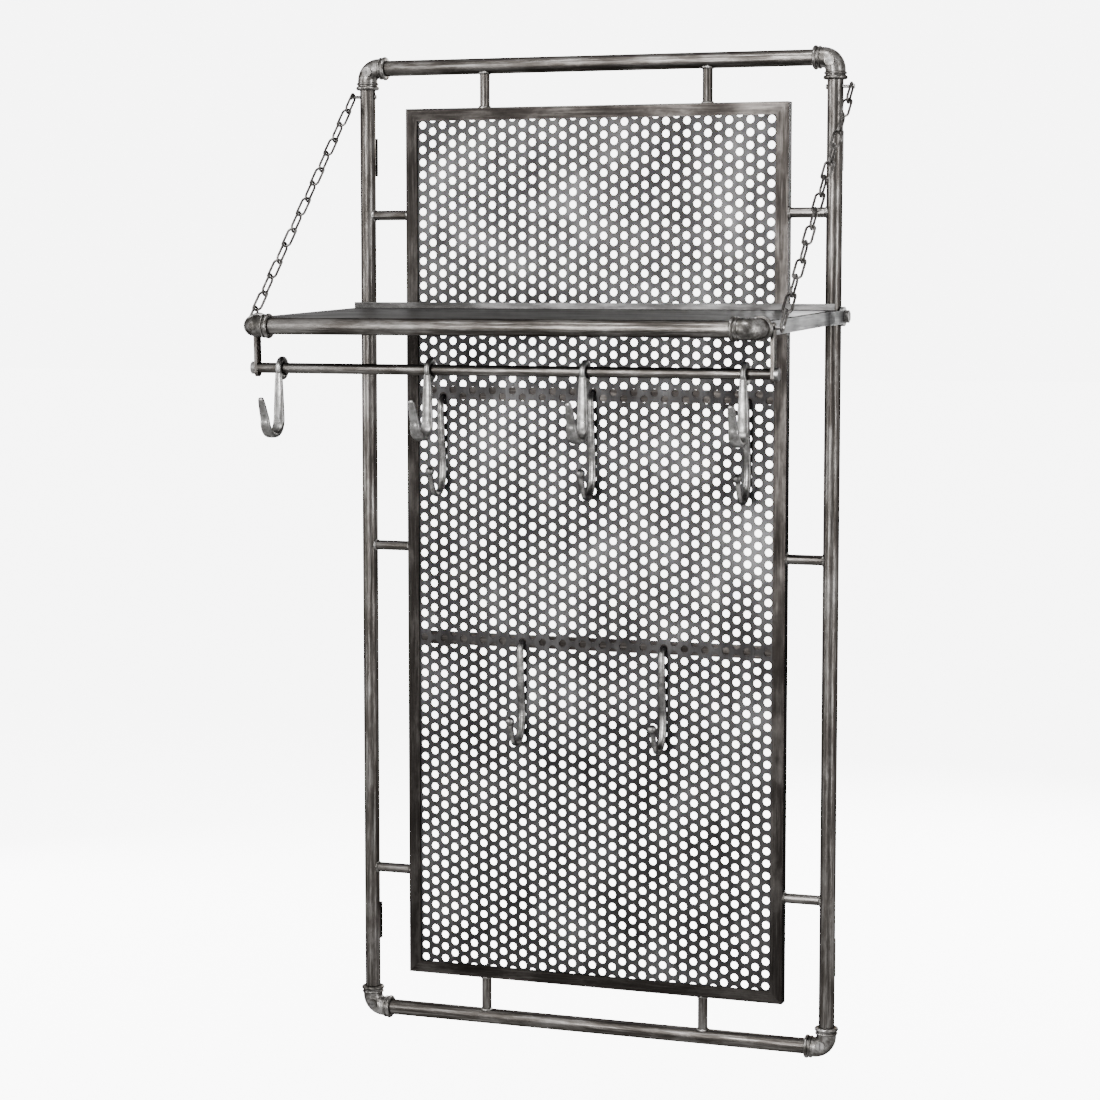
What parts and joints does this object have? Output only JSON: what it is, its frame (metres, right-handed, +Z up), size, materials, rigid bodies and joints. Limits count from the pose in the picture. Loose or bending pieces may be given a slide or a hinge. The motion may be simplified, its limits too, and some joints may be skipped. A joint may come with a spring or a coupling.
{
  "type": "pegboard tool wall",
  "caption": "Wall rack with a pipe frame round a perforated steel panel, hooks on the panel, and a hinged shelf held by chains with swinging hooks on a bar below it.",
  "frame": {"origin": "centre of the rectangle of keyhole fixings, on the wall plane behind the rack", "axes": "X to the right as seen from the room, Y into the wall, Z up"},
  "size_m": [0.6434, 0.3716, 1.2034],
  "materials": {
    "gunmetal_tube": "antiqued steel, brushed along its length",
    "cast_elbow": "cast, dark, worn bright on its beads",
    "panel_frame": "brown-black burnished steel with worn edges",
    "panel_sheet": "dark grey burnished sheet steel",
    "hook_rod": "polished grey steel rod",
    "fastener": "worn steel",
    "side_bar": "pale brushed steel",
    "shelf_plate": "dark satin steel sheet",
    "forged_hook": "forged steel, polished",
    "chain": "dark steel wire"
  },
  "bodies": {
    "frame": {"rail_left": "gunmetal_tube", "rail_right": "gunmetal_tube", "pipe_top": "gunmetal_tube", "pipe_bottom": "gunmetal_tube", "elbow_top_left": "cast_elbow", "elbow_top_right": "cast_elbow", "elbow_bottom_left": "cast_elbow", "elbow_bottom_right": "cast_elbow", "elbow_screws": "fastener", "side_stubs": "gunmetal_tube", "end_stubs": "gunmetal_tube", "panel_frame_left": "panel_frame", "panel_frame_right": "panel_frame", "panel_frame_top": "panel_frame", "panel_frame_bottom": "panel_frame", "perforated_sheet": "panel_sheet", "cross_bar_upper": "panel_frame", "cross_bar_lower": "panel_frame", "panel_hook_upper_left": "hook_rod", "panel_hook_upper_middle": "hook_rod", "panel_hook_upper_right": "hook_rod", "panel_hook_lower_left": "hook_rod", "panel_hook_lower_right": "hook_rod", "hanger_plates": "panel_frame", "pivot_bolts": "fastener", "pivot_nuts": "fastener", "chain_pins_top": "fastener"},
    "shelf": {"shelf_front_pipe": "gunmetal_tube", "shelf_elbow_left": "cast_elbow", "shelf_elbow_right": "cast_elbow", "shelf_side_bar_left": "side_bar", "shelf_side_bar_right": "side_bar", "shelf_plate": "shelf_plate", "drop_bar_left": "gunmetal_tube", "drop_bar_right": "gunmetal_tube", "hook_bar": "gunmetal_tube", "hook_bar_caps": "gunmetal_tube", "chain_pins_shelf": "fastener"},
    "front_hook_1": {"front_hook_1": "forged_hook"},
    "front_hook_2": {"front_hook_2": "forged_hook"},
    "front_hook_3": {"front_hook_3": "forged_hook"},
    "front_hook_4": {"front_hook_4": "forged_hook"},
    "chain_01": {"chain_link_01": "chain"},
    "chain_02": {"chain_link_02": "chain"},
    "chain_03": {"chain_link_03": "chain"},
    "chain_04": {"chain_link_04": "chain"},
    "chain_05": {"chain_link_05": "chain"},
    "chain_06": {"chain_link_06": "chain"},
    "chain_07": {"chain_link_07": "chain"},
    "chain_08": {"chain_link_08": "chain"},
    "chain_09": {"chain_link_09": "chain"},
    "chain_10": {"chain_link_10": "chain"},
    "chain_11": {"chain_link_11": "chain"},
    "chain_12": {"chain_link_12": "chain"},
    "chain_13": {"chain_link_13": "chain"},
    "chain_14": {"chain_link_14": "chain"},
    "chain_15": {"chain_link_15": "chain"}
  },
  "joints": [
    {"name": "shelf_lift", "type": "hinge", "parent": "frame", "child": "shelf", "pos_m": [0, -0.016, 0.2875], "axis": [-1, 0, 0], "range_deg": [0, 24]},
    {"name": "chain_turn_01", "type": "hinge", "parent": "frame", "child": "chain_01", "pos_m": [0, -0.016, 0.5535], "axis": [-1, 0, 0], "range_deg": [-57.2, 2]},
    {"name": "chain_turn_02", "type": "hinge", "parent": "chain_01", "child": "chain_02", "pos_m": [0, -0.03342, 0.53744], "axis": [-1, 0, 0], "range_deg": [-2, 11.1]},
    {"name": "chain_turn_03", "type": "hinge", "parent": "chain_02", "child": "chain_03", "pos_m": [0, -0.05561, 0.51697], "axis": [-1, 0, 0], "range_deg": [-2, 13.4]},
    {"name": "chain_turn_04", "type": "hinge", "parent": "chain_03", "child": "chain_04", "pos_m": [0, -0.07339, 0.50058], "axis": [-1, 0, 0], "range_deg": [-2, 16.4]},
    {"name": "chain_turn_05", "type": "hinge", "parent": "chain_04", "child": "chain_05", "pos_m": [0, -0.09559, 0.48011], "axis": [-1, 0, 0], "range_deg": [-2, 17.5]},
    {"name": "chain_turn_06", "type": "hinge", "parent": "chain_05", "child": "chain_06", "pos_m": [0, -0.11337, 0.46371], "axis": [-1, 0, 0], "range_deg": [-2, 14.1]},
    {"name": "chain_turn_07", "type": "hinge", "parent": "chain_06", "child": "chain_07", "pos_m": [0, -0.13557, 0.44324], "axis": [-1, 0, 0], "range_deg": [-2, 6.8]},
    {"name": "chain_turn_08", "type": "hinge", "parent": "chain_07", "child": "chain_08", "pos_m": [0, -0.15335, 0.42685], "axis": [-1, 0, 0], "range_deg": [-6.7, 2]},
    {"name": "chain_turn_15", "type": "hinge", "parent": "shelf", "child": "chain_15", "pos_m": [0, -0.3129, 0.27973], "axis": [-1, 0, 0], "range_deg": [-2, 60.6]},
    {"name": "chain_turn_14", "type": "hinge", "parent": "chain_15", "child": "chain_14", "pos_m": [0, -0.29548, 0.29579], "axis": [-1, 0, 0], "range_deg": [-22.4, 2]},
    {"name": "chain_turn_13", "type": "hinge", "parent": "chain_14", "child": "chain_13", "pos_m": [0, -0.27329, 0.31625], "axis": [-1, 0, 0], "range_deg": [-14.1, 2]},
    {"name": "chain_turn_12", "type": "hinge", "parent": "chain_13", "child": "chain_12", "pos_m": [0, -0.2555, 0.33265], "axis": [-1, 0, 0], "range_deg": [-2, 6.7]},
    {"name": "chain_turn_11", "type": "hinge", "parent": "chain_12", "child": "chain_11", "pos_m": [0, -0.23331, 0.35312], "axis": [-1, 0, 0], "range_deg": [-12.1, 2]},
    {"name": "chain_turn_10", "type": "hinge", "parent": "chain_11", "child": "chain_10", "pos_m": [0, -0.21552, 0.36951], "axis": [-1, 0, 0], "range_deg": [-18.9, 2]},
    {"name": "chain_turn_09", "type": "hinge", "parent": "chain_10", "child": "chain_09", "pos_m": [0, -0.19333, 0.38998], "axis": [-1, 0, 0], "range_deg": [-17.7, 2]},
    {"name": "front_hook_swing_1", "type": "hinge", "parent": "shelf", "child": "front_hook_1", "pos_m": [-0.275, -0.3116, 0.23004], "axis": [1, 0, 0], "range_deg": [-45, 45]},
    {"name": "front_hook_swing_2", "type": "hinge", "parent": "shelf", "child": "front_hook_2", "pos_m": [-0.092, -0.3116, 0.23004], "axis": [1, 0, 0], "range_deg": [-45, 45]},
    {"name": "front_hook_swing_3", "type": "hinge", "parent": "shelf", "child": "front_hook_3", "pos_m": [0.092, -0.3116, 0.23004], "axis": [1, 0, 0], "range_deg": [-45, 45]},
    {"name": "front_hook_swing_4", "type": "hinge", "parent": "shelf", "child": "front_hook_4", "pos_m": [0.275, -0.3116, 0.23004], "axis": [1, 0, 0], "range_deg": [-45, 45]}
  ],
  "couplings": [
    {"joint": "chain_turn_01", "follows": "shelf_lift", "ratio": -2.2993},
    {"joint": "chain_turn_02", "follows": "shelf_lift", "ratio": 0.3774},
    {"joint": "chain_turn_03", "follows": "shelf_lift", "ratio": 0.474},
    {"joint": "chain_turn_04", "follows": "shelf_lift", "ratio": 0.6015},
    {"joint": "chain_turn_05", "follows": "shelf_lift", "ratio": 0.6439},
    {"joint": "chain_turn_06", "follows": "shelf_lift", "ratio": 0.5056},
    {"joint": "chain_turn_07", "follows": "shelf_lift", "ratio": 0.2},
    {"joint": "chain_turn_08", "follows": "shelf_lift", "ratio": -0.1971},
    {"joint": "chain_turn_15", "follows": "shelf_lift", "ratio": 2.4411},
    {"joint": "chain_turn_14", "follows": "shelf_lift", "ratio": -0.8492},
    {"joint": "chain_turn_13", "follows": "shelf_lift", "ratio": -0.5062},
    {"joint": "chain_turn_12", "follows": "shelf_lift", "ratio": 0.194},
    {"joint": "chain_turn_11", "follows": "shelf_lift", "ratio": -0.4213},
    {"joint": "chain_turn_10", "follows": "shelf_lift", "ratio": -0.7044},
    {"joint": "chain_turn_09", "follows": "shelf_lift", "ratio": -0.6532}
  ]
}
